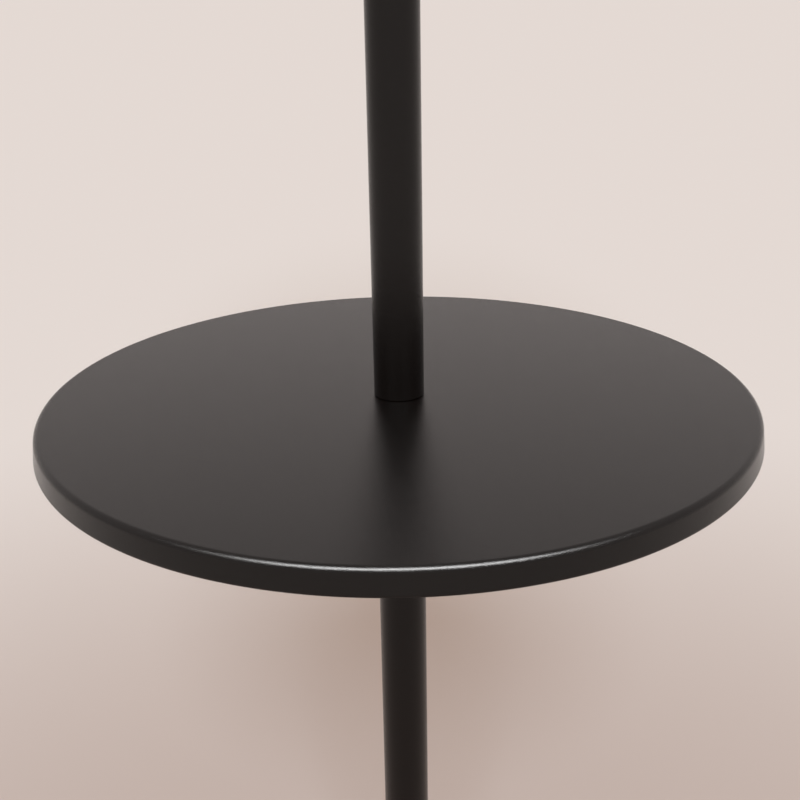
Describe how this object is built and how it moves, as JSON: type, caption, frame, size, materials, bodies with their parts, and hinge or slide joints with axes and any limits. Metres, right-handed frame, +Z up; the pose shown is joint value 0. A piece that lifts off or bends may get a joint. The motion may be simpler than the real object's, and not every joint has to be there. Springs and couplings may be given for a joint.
{
  "type": "floor lamp with table",
  "caption": "Floor lamp with a round steel table on its pole, a weighted round base and a drum shade on a harp.",
  "frame": {"origin": "on the floor under the middle of the base", "axes": "+Z up along the pole, +Y towards the back, where the cord enters, +X to the right as seen from the front"},
  "size_m": [0.36, 0.36, 1.4585],
  "materials": {
    "satin_black": "satin powder coat",
    "pad": "foamed rubber",
    "concrete": "cast",
    "steel": "zinc plated",
    "bushing": "moulded",
    "nickel": "nickel plated",
    "cardboard": "pressed fibre",
    "phenolic": "moulded",
    "brass": "drawn",
    "knob": "moulded",
    "bulb_metal": "rolled",
    "bulb_housing": "moulded",
    "bulb_globe": "opal",
    "shade_fabric": "linen weave on a stiff backing",
    "white_wire": "white coat"
  },
  "bodies": {
    "stand": {"base_pad": "pad", "base_weight": "concrete", "base_cover": "satin_black", "base_nipple": "steel", "base_washer": "steel", "base_nut": "steel", "cord_bushing": "bushing", "pole_tube_1": "satin_black", "pole_tube_2": "satin_black", "pole_tube_3": "satin_black", "pole_tube_4": "satin_black", "tube_1_lower_plug": "steel", "tube_2_lower_plug": "steel", "tube_3_lower_plug": "steel", "tube_4_lower_plug": "steel", "tube_1_upper_plug": "steel", "tube_2_upper_plug": "steel", "tube_3_upper_plug": "steel", "tube_4_upper_plug": "steel", "lower_joint_nipple": "steel", "table_nipple": "steel", "upper_joint_nipple": "steel", "socket_nipple": "steel", "table_collar": "satin_black", "table_hub_plate": "satin_black", "table_top": "satin_black", "pole_cap": "satin_black", "harp_saddle": "nickel", "harp": "nickel", "socket_cap": "satin_black", "socket_shell": "satin_black", "socket_liner": "cardboard", "switch_housing": "phenolic", "screw_shell": "brass", "centre_contact": "brass", "bulb_contact": "bulb_metal", "bulb_cap": "bulb_metal", "bulb_housing": "bulb_housing", "bulb_globe": "bulb_globe"},
    "switch": {"switch_shaft": "brass", "switch_knob": "knob"},
    "shade": {"harp_swivel": "nickel", "shade_spider": "white_wire", "shade_wall": "shade_fabric", "shade_top_hem": "shade_fabric", "shade_foot_hem": "shade_fabric", "shade_foot_ring": "white_wire", "finial": "satin_black"},
    "sleeve_left": {"harp_sleeve_left": "nickel"},
    "sleeve_right": {"harp_sleeve_right": "nickel"}
  },
  "joints": [
    {"name": "switch_turn", "type": "hinge", "parent": "stand", "child": "switch", "pos_m": [0, -0.025, 1.2595], "axis": [0, -1, 0], "continuous": true},
    {"name": "shade_turn", "type": "hinge", "parent": "stand", "child": "shade", "pos_m": [0, 0, 1.4312], "axis": [0, 0, 1], "continuous": true},
    {"name": "sleeve_left_lift", "type": "slide", "parent": "stand", "child": "sleeve_left", "axis": [0, 0, 1], "range_m": [0, 0.01]},
    {"name": "sleeve_right_lift", "type": "slide", "parent": "stand", "child": "sleeve_right", "axis": [0, 0, 1], "range_m": [0, 0.01]}
  ]
}
